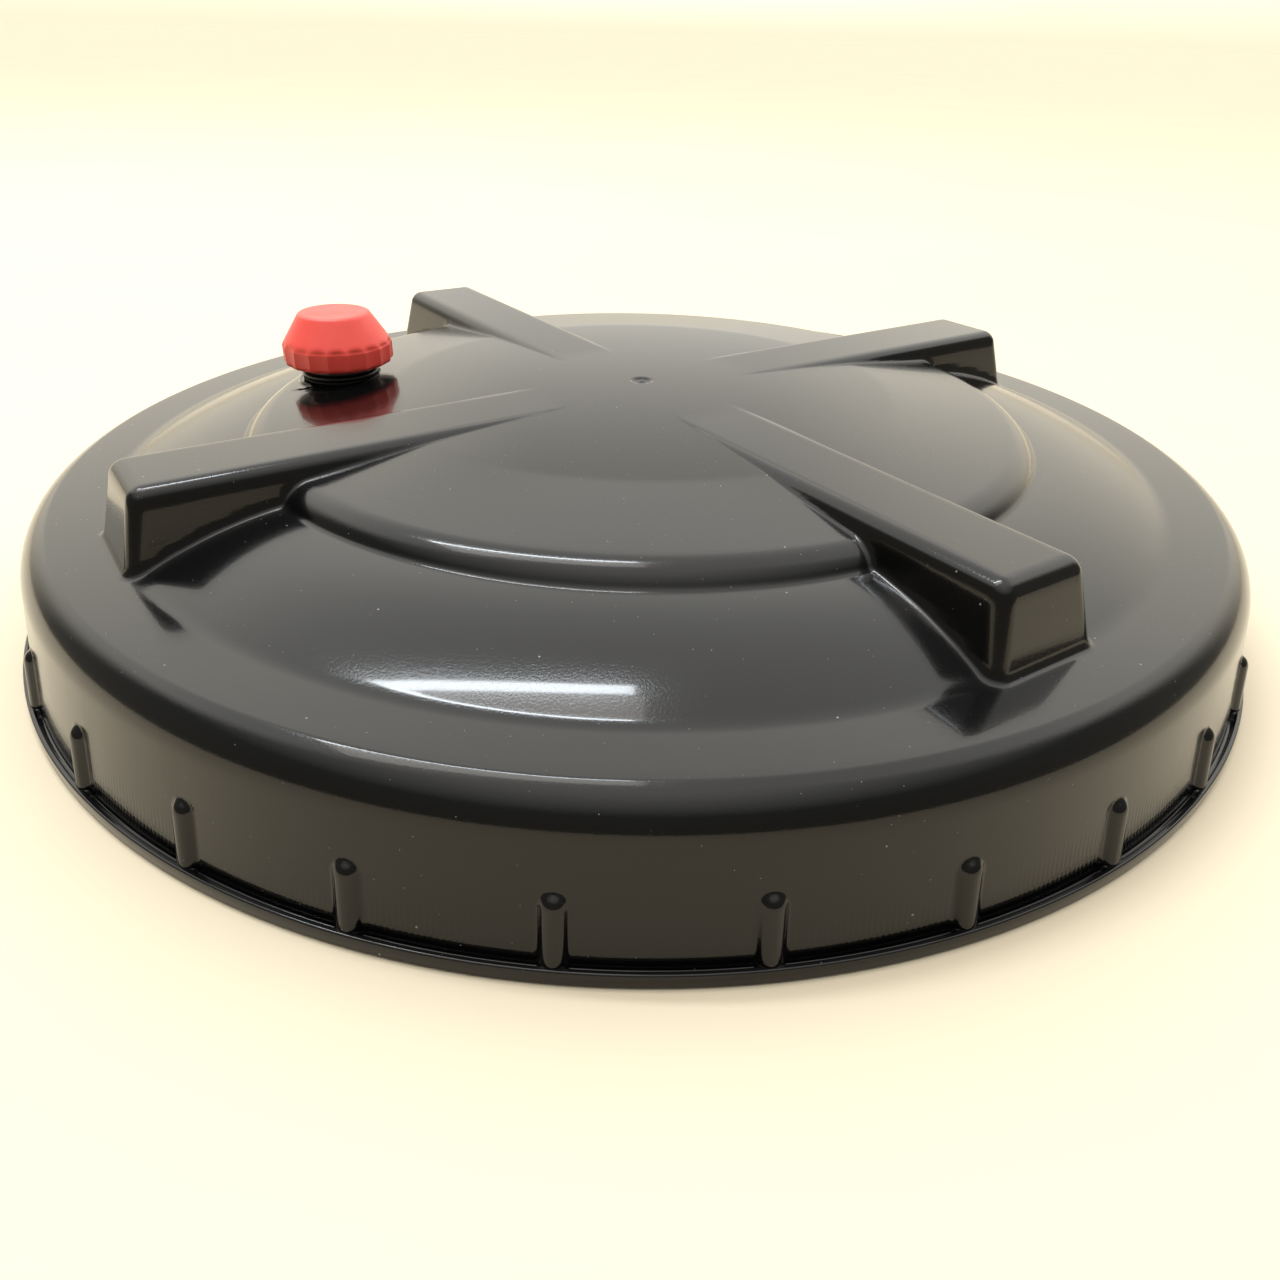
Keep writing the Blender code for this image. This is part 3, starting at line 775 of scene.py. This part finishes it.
def build_stem(material):
    """The stem from its top down its outside, under the shank and up its bore to the screen's pocket."""
    profile = [(SCREEN_POCKET[0] + 0.1, STEM_TOP), (STEM_NECK_RADIUS - 0.6, STEM_TOP)]
    profile += [(STEM_NECK_RADIUS, z) for z in spaced(STEM_TOP - 0.6, STEM_NECK_FOOT, 26)]
    neck_foot = (STEM_NECK_RADIUS, STEM_NECK_FOOT)
    profile += fillet(neck_foot, (STEM_NECK_RADIUS, COLLAR[1]), (COLLAR[2], COLLAR[1]), 0.9, 5)
    profile += rounded(
        [
            (COLLAR[2] - 0.9, COLLAR[1], 0, 0),
            (COLLAR[2], COLLAR[1], 0.75, 5),
            (COLLAR[2], COLLAR[0], 0.75, 5),
            (SHANK_RADIUS + 0.5, COLLAR[0], 0, 0),
        ]
    )
    profile += [(SHANK_RADIUS, z) for z in spaced(COLLAR[0] - 0.05, STEM_BOTTOM + 0.6, 40)]
    profile += [(SHANK_RADIUS - 0.6, STEM_BOTTOM), (STEM_BORE_RADIUS + 0.5, STEM_BOTTOM)]
    profile += [(STEM_BORE_RADIUS, STEM_BOTTOM + 0.5)]
    profile += [(STEM_BORE_RADIUS, SCREEN_POCKET[1]), (SCREEN_POCKET[0], SCREEN_POCKET[1])]
    mesh = build_turned("stem", profile, 144, STEM_CENTRE, stem_shape)
    add_piece("threaded_stem", mesh, "lid", "stem", material, "breather_stem")


def cap_shape(bearing, radius, height):
    """Shallow flutes on the band, with crisp ridges between them."""
    if radius < CAP_CONE_RADIUS - 0.6 or height > CAP_SHOULDER + 0.9:
        return 0
    pitch = math.tau / FLUTE_COUNT
    across = (bearing % pitch) / pitch * 2 - 1
    run_out = 1 - smooth_step(CAP_SHOULDER - 0.6, CAP_SHOULDER + 0.9, height)
    return -FLUTE_DEPTH * (1 - across**2) * run_out


def build_cap(material):
    """The cap from the middle of its top over its outside, up under the roof and round the sleeve."""
    outer = rounded(
        [
            (7.0, CAP_TOP, 0, 0),
            (CAP_TOP_RADIUS, CAP_TOP, 2.2, 8),
            (CAP_CONE_RADIUS, CAP_SHOULDER + 0.2, 0.6, 4),
            (CAP_RADIUS, CAP_SHOULDER - 1.2, 0.5, 3),
            (CAP_RADIUS, CAP_BOTTOM, 1.6, 6),
            (CAP_RADIUS - CAP_WALL, CAP_BOTTOM, 0.4, 3),
            (CAP_RADIUS - CAP_WALL, CAP_SHOULDER - 1, 0, 0),
        ]
    )
    inner = [
        (CAP_CONE_RADIUS - 1.3 * CAP_WALL, CAP_SHOULDER + 0.3),
        (SLEEVE_RADII[1] + 0.6, SLEEVE_TOPS[1] + 0.6),
        (SLEEVE_RADII[1], SLEEVE_TOPS[1]),
        (SLEEVE_RADII[1], VENT_HEIGHTS[1]),
        (SLEEVE_RADII[1], VENT_HEIGHTS[0]),
        (SLEEVE_RADII[1], SLEEVE_BOTTOM + 0.4),
        (SLEEVE_RADII[1] - 0.4, SLEEVE_BOTTOM),
        (SLEEVE_RADII[0] + 0.4, SLEEVE_BOTTOM),
        (SLEEVE_RADII[0], SLEEVE_BOTTOM + 0.4),
        (SLEEVE_RADII[0], VENT_HEIGHTS[0]),
        (SLEEVE_RADII[0], VENT_HEIGHTS[1]),
        (SLEEVE_RADII[0], SLEEVE_TOPS[0]),
        (CAP_TOP_RADIUS - CAP_WALL, CAP_TOP - CAP_WALL),
        (6.0, CAP_TOP - CAP_WALL),
        (0, CAP_TOP - CAP_WALL),
    ]
    profile = [(0, CAP_TOP)] + split_long(outer, 1.2) + inner
    columns = FLUTE_COUNT * 12
    mesh = build_turned("cap", profile, columns, STEM_CENTRE, cap_shape, ring=False, smooth_angle=30)
    open_vents(mesh)
    add_piece("fluted_cap", mesh, "cap", "cap", material, "breather_cap")


def split_long(profile, longest):
    """The same profile with no stretch over a length."""
    points = [profile[0]]
    for start, end in zip(profile, profile[1:]):
        count = max(1, math.ceil(math.dist(start, end) / longest))
        for i in range(1, count + 1):
            points.append(tuple(a + (b - a) * i / count for a, b in zip(start, end)))
    return points


def open_vents(mesh):
    """Cuts the sleeve's air windows: drops matching faces of its two walls and joins their edges."""
    shape = bmesh.new()
    shape.from_mesh(mesh)
    low, high = (height * MM for height in VENT_HEIGHTS)
    pitch = math.tau / VENT_COUNT
    windows = []
    for face in shape.faces:
        centre = face.calc_center_median()
        offset = centre - Vector((BREATHER_X * MM, BREATHER_Y * MM, 0))
        on_sleeve = SLEEVE_RADII[0] - 0.3 < offset.xy.length / MM < SLEEVE_RADII[1] + 0.3
        bearing = math.atan2(offset.y, offset.x) % pitch
        in_window = abs(bearing - pitch / 2) < VENT_HALF_ANGLE and low < centre.z < high
        if on_sleeve and in_window:
            windows.append(face)
    bmesh.ops.delete(shape, geom=windows, context="FACES")
    loose = [edge for edge in shape.edges if len(edge.link_faces) == 1]
    bmesh.ops.bridge_loops(shape, edges=loose, use_pairs=False)
    shape.to_mesh(mesh)
    shape.free()


def build_nut(material):
    """A hexagonal nut with chamfered corners and a threaded hole."""
    low, high = (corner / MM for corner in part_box("back_nut"))
    flats = high.x - low.x
    hole = SHANK_RADIUS + 0.35

    def shape(bearing, radius, height):
        if radius < hole + 0.5:
            threaded = low.z + 1 < height < high.z - 1
            return helix_bump(bearing, height, STEM_THREAD_PITCH, -NUT_THREAD_DEPTH) * threaded
        side = math.pi / 3
        hexagon = flats / 2 / np.cos(bearing % side - side / 2)
        from_face = min(height - low.z, high.z - height)
        return np.minimum(hexagon, flats / 2 * NUT_CORNER - max(0, NUT_CHAMFER - from_face)) - radius

    upper = spaced(high.z, high.z - NUT_CHAMFER, 4)
    lower = spaced(low.z + NUT_CHAMFER, low.z, 4)
    heights = [*upper, (low.z + high.z) / 2, *lower]
    profile = [(hole + 0.8, high.z)] + [(flats / 2, z) for z in heights] + [(hole + 0.8, low.z)]
    profile += [(hole, z) for z in spaced(low.z + 0.5, high.z - 0.5, 24)]
    mesh = build_turned("nut", profile, 144, STEM_CENTRE, shape, smooth_angle=25)
    add_piece("hex_nut", mesh, "lid", "stem", material, "back_nut")


# ---- materials


class Shader:
    """Small helper for wiring a node material around one Principled shader."""

    def __init__(self, name, **settings):
        self.material = bpy.data.materials.new(name)
        self.material.use_nodes = True
        self.tree = self.material.node_tree
        self.principled = self.tree.nodes["Principled BSDF"]
        for key, value in settings.items():
            self.principled.inputs[key.replace("_", " ")].default_value = value
        self.place = self.node("ShaderNodeTexCoord").outputs["Object"]

    def node(self, kind, **settings):
        node = self.tree.nodes.new(kind)
        for key, value in settings.items():
            if key in node.inputs:
                node.inputs[key].default_value = value
            else:
                setattr(node, key, value)
        return node

    def link(self, output, target):
        self.tree.links.new(output, target)
        return target

    def noise(self, scale, detail=2.0, place=None, roughness=0.5):
        node = self.node("ShaderNodeTexNoise", Scale=scale, Detail=detail, Roughness=roughness)
        self.link(place or self.place, node.inputs["Vector"])
        return node.outputs["Fac"]

    def stretched(self, scales, turn=0.0):
        node = self.node("ShaderNodeMapping", Scale=scales, Rotation=(0, 0, turn))
        self.link(self.place, node.inputs["Vector"])
        return node.outputs["Vector"]

    def ramp(self, value, low, high, start=0.0, end=1.0):
        node = self.node("ShaderNodeMapRange", clamp=True)
        self.link(value, node.inputs["Value"])
        for key, number in zip(("From Min", "From Max", "To Min", "To Max"), (low, high, start, end)):
            node.inputs[key].default_value = number
        return node.outputs["Result"]

    def math(self, operation, a, b=None, clamp=False):
        node = self.node("ShaderNodeMath", operation=operation, use_clamp=clamp)
        for i, value in enumerate(v for v in (a, b) if v is not None):
            if isinstance(value, (int, float)):
                node.inputs[i].default_value = value
            else:
                self.link(value, node.inputs[i])
        return node.outputs["Value"]

    def mix(self, share, dark, light):
        node = self.node("ShaderNodeMix", data_type="RGBA")
        self.link(share, node.inputs["Factor"])
        for socket, value in ((node.inputs[6], dark), (node.inputs[7], light)):
            if isinstance(value, tuple):
                socket.default_value = (*value, 1.0)
            else:
                self.link(value, socket)
        return node.outputs[2]

    def specks(self, scale, size, share):
        """Small dots: 1 on a dot, 0 between them."""
        cells = self.node("ShaderNodeTexVoronoi", Scale=scale)
        self.link(self.place, cells.inputs["Vector"])
        near = self.ramp(cells.outputs["Distance"], size, size * 0.6)
        chance = self.node("ShaderNodeSeparateColor")
        self.link(cells.outputs["Color"], chance.inputs["Color"])
        kept = self.ramp(chance.outputs["Red"], 1 - share, 1 - share + 0.02)
        return self.math("MULTIPLY", near, kept)

    def bump(self, height, distance, strength=1.0, onto=None):
        node = self.node("ShaderNodeBump", Strength=strength, Distance=distance)
        self.link(height, node.inputs["Height"])
        if onto:
            self.link(onto, node.inputs["Normal"])
        return node.outputs["Normal"]

    def finish(self, color=None, roughness=None, normal=None):
        for key, value in (("Base Color", color), ("Roughness", roughness), ("Normal", normal)):
            if value is not None:
                self.link(value, self.principled.inputs[key])
        return self.material


def gloss_black():
    """Moulded black polyethylene: glossy, faintly wavy, with dust, scuffs and drag lines on the skirt."""
    s = Shader(
        "gloss black polyethylene",
        IOR=1.5,
        Specular_IOR_Level=0.18,
        Coat_Weight=0.42,
        Coat_Roughness=0.06,
        Coat_IOR=1.5,
    )
    dust = s.math("ADD", s.specks(330, 0.055, 0.5), s.specks(120, 0.045, 0.4), clamp=True)
    haze = s.ramp(s.noise(9, 4), 0.35, 0.75)
    scuff = s.ramp(s.noise(60, 6, s.stretched((1, 14, 2), 0.5), 0.7), 0.66, 0.80)
    scuff_across = s.ramp(s.noise(50, 6, s.stretched((16, 1, 2), 1.1), 0.7), 0.67, 0.82)
    scratches = s.math("MAXIMUM", scuff, scuff_across)
    base = s.mix(haze, (0.0022, 0.0022, 0.0024), (0.0036, 0.0036, 0.0038))
    color = s.mix(s.math("MULTIPLY", dust, 0.8), base, (0.30, 0.29, 0.27))
    color = s.mix(s.math("MULTIPLY", scratches, 0.05), color, (0.20, 0.20, 0.20))
    rough = s.math("ADD", s.ramp(haze, 0, 1, 0.13, 0.17), s.math("MULTIPLY", scratches, 0.10))
    rough = s.math("ADD", rough, s.math("MULTIPLY", dust, 0.4), clamp=True)
    peel = s.noise(120, 2)
    waves = s.noise(7, 2)
    normal = s.bump(waves, 0.0006, 0.35)
    normal = s.bump(peel, 0.00002, 0.5, normal)
    normal = s.bump(s.noise(1300, 2), 0.00004, 1.0, normal)
    normal = s.bump(drag_lines(s), 0.00006, 0.6, normal)
    return s.finish(color, rough, normal)


def drag_lines(s):
    """Fine upright lines low on the skirt, where the moulding was drawn off its tool."""
    split = s.node("ShaderNodeSeparateXYZ")
    s.link(s.place, split.inputs["Vector"])
    bearing = s.math("ARCTAN2", split.outputs["Y"], split.outputs["X"])
    lines = s.math("SINE", s.math("MULTIPLY", bearing, 900))
    low = s.ramp(split.outputs["Z"], 0.022, 0.008)
    above_flange = s.ramp(split.outputs["Z"], 0.0045, 0.0055)
    patchy = s.ramp(s.noise(14, 2), 0.42, 0.6)
    return s.math("MULTIPLY", s.math("MULTIPLY", lines, low), s.math("MULTIPLY", above_flange, patchy))


def red_plastic():
    s = Shader("satin red polypropylene", IOR=1.49, Subsurface_Weight=0.08, Subsurface_Scale=0.002)
    tone = s.ramp(s.noise(40, 4), 0.3, 0.7)
    color = s.mix(tone, (0.88, 0.078, 0.062), (0.94, 0.098, 0.078))
    dust = s.specks(500, 0.06, 0.4)
    color = s.mix(s.math("MULTIPLY", dust, 0.5), color, (0.85, 0.55, 0.5))
    rough = s.ramp(s.noise(90, 3), 0.3, 0.7, 0.36, 0.48)
    normal = s.bump(s.noise(900, 2), 0.00003, 0.6)
    return s.finish(color, rough, normal)


def black_nylon(name="black nylon", low=0.22, high=0.34):
    s = Shader(name, IOR=1.53)
    color = s.mix(s.ramp(s.noise(60, 3), 0.3, 0.7), (0.007, 0.007, 0.008), (0.014, 0.014, 0.015))
    rough = s.ramp(s.noise(80, 3), 0.3, 0.7, low, high)
    return s.finish(color, rough, s.bump(s.noise(500, 2), 0.00003, 0.5))


def rubber(name):
    s = Shader(name, IOR=1.5, Specular_IOR_Level=0.35)
    bloom = s.ramp(s.noise(70, 5), 0.4, 0.75)
    color = s.mix(bloom, (0.012, 0.012, 0.012), (0.030, 0.030, 0.031))
    rough = s.ramp(s.noise(200, 3), 0.3, 0.7, 0.62, 0.8)
    return s.finish(color, rough, s.bump(s.noise(1400, 3), 0.00006, 0.8))


def natural_nylon():
    s = Shader("natural nylon", IOR=1.53, Subsurface_Weight=0.2, Subsurface_Scale=0.001)
    color = s.mix(s.ramp(s.noise(90, 3), 0.3, 0.7), (0.60, 0.59, 0.53), (0.70, 0.69, 0.64))
    rough = s.ramp(s.noise(60, 2), 0.3, 0.7, 0.4, 0.55)
    return s.finish(color, rough, s.bump(s.noise(700, 2), 0.00003, 0.6))


def foam():
    s = Shader("filter foam", Roughness=0.95, Specular_IOR_Level=0.2)
    cells = s.node("ShaderNodeTexVoronoi", Scale=1500)
    s.link(s.place, cells.inputs["Vector"])
    pores = s.ramp(cells.outputs["Distance"], 0.15, 0.6)
    color = s.mix(pores, (0.04, 0.04, 0.04), (0.22, 0.22, 0.21))
    return s.finish(color, None, s.bump(pores, 0.0004, 1.0))


def matt_black():
    s = Shader("screen plastic", IOR=1.5)
    color = s.mix(s.ramp(s.noise(200, 3), 0.3, 0.7), (0.02, 0.02, 0.02), (0.035, 0.035, 0.036))
    rough = s.ramp(s.noise(120, 3), 0.3, 0.7, 0.45, 0.6)
    return s.finish(color, rough, s.bump(s.noise(1200, 2), 0.00003, 0.8))


def floor_material():
    s = Shader("pale floor", Roughness=0.9, Specular_IOR_Level=0.1)
    color = s.mix(s.ramp(s.noise(3, 4), 0.3, 0.7), (0.76, 0.67, 0.51), (0.78, 0.69, 0.53))
    return s.finish(color, None, s.bump(s.noise(400, 3), 0.0002, 0.15))


# ---- the object


add_piece("moulded_lid", build_lid(), "lid", "shell", gloss_black(), "lid_shell")
ring_piece("seal_ring", "rim_gasket", "lid", "gasket", rubber("gasket rubber"), 0.8, columns=256)
build_stem(black_nylon())
ring_piece("stem_seal", "stem_washer", "lid", "gasket", rubber("washer rubber"), 0.3)
ring_piece("slip_washer", "nut_washer", "lid", "washer", natural_nylon(), 0.2)
build_nut(black_nylon("nut nylon", 0.34, 0.46))
ring_piece("foam_ring", "filter_ring", "filter", "foam", foam(), 0.9)
build_cap(red_plastic())
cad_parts["insect_screen"].material_slots[0].material = matt_black()


# ---- floor, light and camera


def add_floor():
    mesh = bpy.data.meshes.new("floor")
    corners = [(x * FLOOR_REACH, y * FLOOR_REACH, 0) for x, y in ((-1, -1), (1, -1), (1, 1), (-1, 1))]
    mesh.from_pydata(corners, [], [(0, 1, 2, 3)])
    floor = bpy.data.objects.new("floor", mesh)
    floor.location.z = -FLOOR_DROP
    mesh.materials.append(floor_material())
    bpy.context.scene.collection.objects.link(floor)


def add_camera():
    """A camera that looks at the lid from the front and above, rolled a little."""
    data = bpy.data.cameras.new("camera")
    data.lens = CAMERA_LENS
    data.sensor_width = SENSOR
    data.clip_start = 0.01
    camera = bpy.data.objects.new("camera", data)
    level = -FRONT * math.cos(CAMERA_YAW) + RIGHT * math.sin(CAMERA_YAW)
    look = level * math.cos(CAMERA_PITCH) - Vector((0, 0, math.sin(CAMERA_PITCH)))
    right = look.cross(Vector((0, 0, 1))).normalized()
    up = right.cross(look)
    rolled_right = right * math.cos(CAMERA_ROLL) + up * math.sin(CAMERA_ROLL)
    rolled_up = up * math.cos(CAMERA_ROLL) - right * math.sin(CAMERA_ROLL)
    turn = Matrix((rolled_right, rolled_up, -look)).transposed().to_4x4()
    place = Matrix.Translation(FRONT * CAMERA_DISTANCE + Vector((0, 0, CAMERA_HEIGHT)))
    camera.matrix_world = place @ turn
    bpy.context.scene.collection.objects.link(camera)
    bpy.context.scene.camera = camera


def add_ceiling_light(name, across, away, radiance, color):
    """A flat light in the ceiling, between two limits across the view and two away from the camera.

    The limits are tangents from straight up, as seen from the lid's front.
    """
    data = bpy.data.lights.new(name, "AREA")
    data.shape = "RECTANGLE"
    data.size = (across[1] - across[0]) * CEILING
    data.size_y = (away[1] - away[0]) * CEILING
    data.energy = radiance * math.pi * data.size * data.size_y
    data.color = color
    light = bpy.data.objects.new(name, data)
    middle = RIGHT * (sum(across) / 2) - FRONT * (sum(away) / 2) + Vector((0, 0, 1))
    light.location = FRONT * (CREASE[0] * MM) + middle * CEILING
    light.rotation_euler.z = math.atan2(RIGHT.y, RIGHT.x)
    light.visible_camera = False
    bpy.context.scene.collection.objects.link(light)


def sky_dot(tree, direction, axis):
    node = tree.nodes.new("ShaderNodeVectorMath")
    node.operation = "DOT_PRODUCT"
    tree.links.new(direction, node.inputs[0])
    node.inputs[1].default_value = axis
    return node.outputs["Value"]


def sky_math(tree, operation, *values):
    node = tree.nodes.new("ShaderNodeMath")
    node.operation = operation
    for socket, value in zip(node.inputs, values):
        if isinstance(value, (int, float)):
            socket.default_value = value
        else:
            tree.links.new(value, socket)
    return node.outputs["Value"]


def smooth_range(tree, value, low, high):
    """0 at low and 1 at high, eased at both ends."""
    node = tree.nodes.new("ShaderNodeMapRange")
    node.interpolation_type = "SMOOTHSTEP"
    tree.links.new(value, node.inputs["Value"])
    node.inputs["From Min"].default_value = low
    node.inputs["From Max"].default_value = high
    return node.outputs["Result"]


def sky_ramp(tree, height, stops):
    """A colour by elevation, from (degrees, colour) stops."""
    ramp = tree.nodes.new("ShaderNodeValToRGB")
    tree.links.new(height, ramp.inputs["Fac"])
    elements = ramp.color_ramp.elements
    while len(elements) < len(stops):
        elements.new(0.5)
    for element, (elevation_deg, color) in zip(elements, stops):
        element.position = math.sin(math.radians(elevation_deg))
        element.color = (*color, 1)
    return ramp.outputs["Color"]


def sky_mix(tree, share, first, second):
    """The first colour where share is 0 and the second where it is 1."""
    node = tree.nodes.new("ShaderNodeMix")
    node.data_type = "RGBA"
    tree.links.new(share, node.inputs["Factor"])
    tree.links.new(first, node.inputs[6])
    if isinstance(second, tuple):
        node.inputs[7].default_value = (*second, 1)
    else:
        tree.links.new(second, node.inputs[7])
    return node.outputs[2]


def dim_share(tree, height, toward):
    """1 on the camera's side of the room, 0 behind the lid, with the bright side wider higher up."""
    height_squared = sky_math(tree, "POWER", height, 2)
    level = sky_math(tree, "SQRT", sky_math(tree, "SUBTRACT", 1.0001, height_squared))
    facing = sky_math(tree, "DIVIDE", toward, level)
    return smooth_range(tree, sky_math(tree, "SUBTRACT", facing, height_squared), *DIM_SIDE)


def wall_share(tree, height, toward, aside):
    """1 on the wall behind the lid, 0 beside and above it."""
    share = smooth_range(tree, aside, *WALL_SIDES)
    for value, limits in ((height, WALL_TOP), (toward, WALL_DEPTH), (height, WALL_FOOT)):
        share = sky_math(tree, "MULTIPLY", share, smooth_range(tree, value, *limits))
    return share


def add_world():
    """A pale room: a wall behind the lid, a brighter ceiling, and a dim side where the camera stands."""
    world = bpy.data.worlds.new("room")
    bpy.context.scene.world = world
    world.use_nodes = True
    tree = world.node_tree
    direction = tree.nodes.new("ShaderNodeTexCoord").outputs["Generated"]
    split = tree.nodes.new("ShaderNodeSeparateXYZ")
    tree.links.new(direction, split.inputs["Vector"])
    height = split.outputs["Z"]
    toward = sky_dot(tree, direction, FRONT)
    aside = sky_math(tree, "ABSOLUTE", sky_dot(tree, direction, RIGHT))
    bright = sky_ramp(tree, height, BRIGHT_SKY)
    dim = sky_ramp(tree, height, DIM_SKY)
    room = sky_mix(tree, dim_share(tree, height, toward), bright, dim)
    room = sky_mix(tree, wall_share(tree, height, toward, aside), room, WALL_SHADE)
    background = tree.nodes["Background"]
    tree.links.new(room, background.inputs["Color"])
    background.inputs["Strength"].default_value = SKY_STRENGTH


add_floor()
add_camera()
add_world()
add_ceiling_light("tube", *TUBE)
add_ceiling_light("diffuser", *DIFFUSER)
bpy.context.scene.view_settings.view_transform = "Standard"
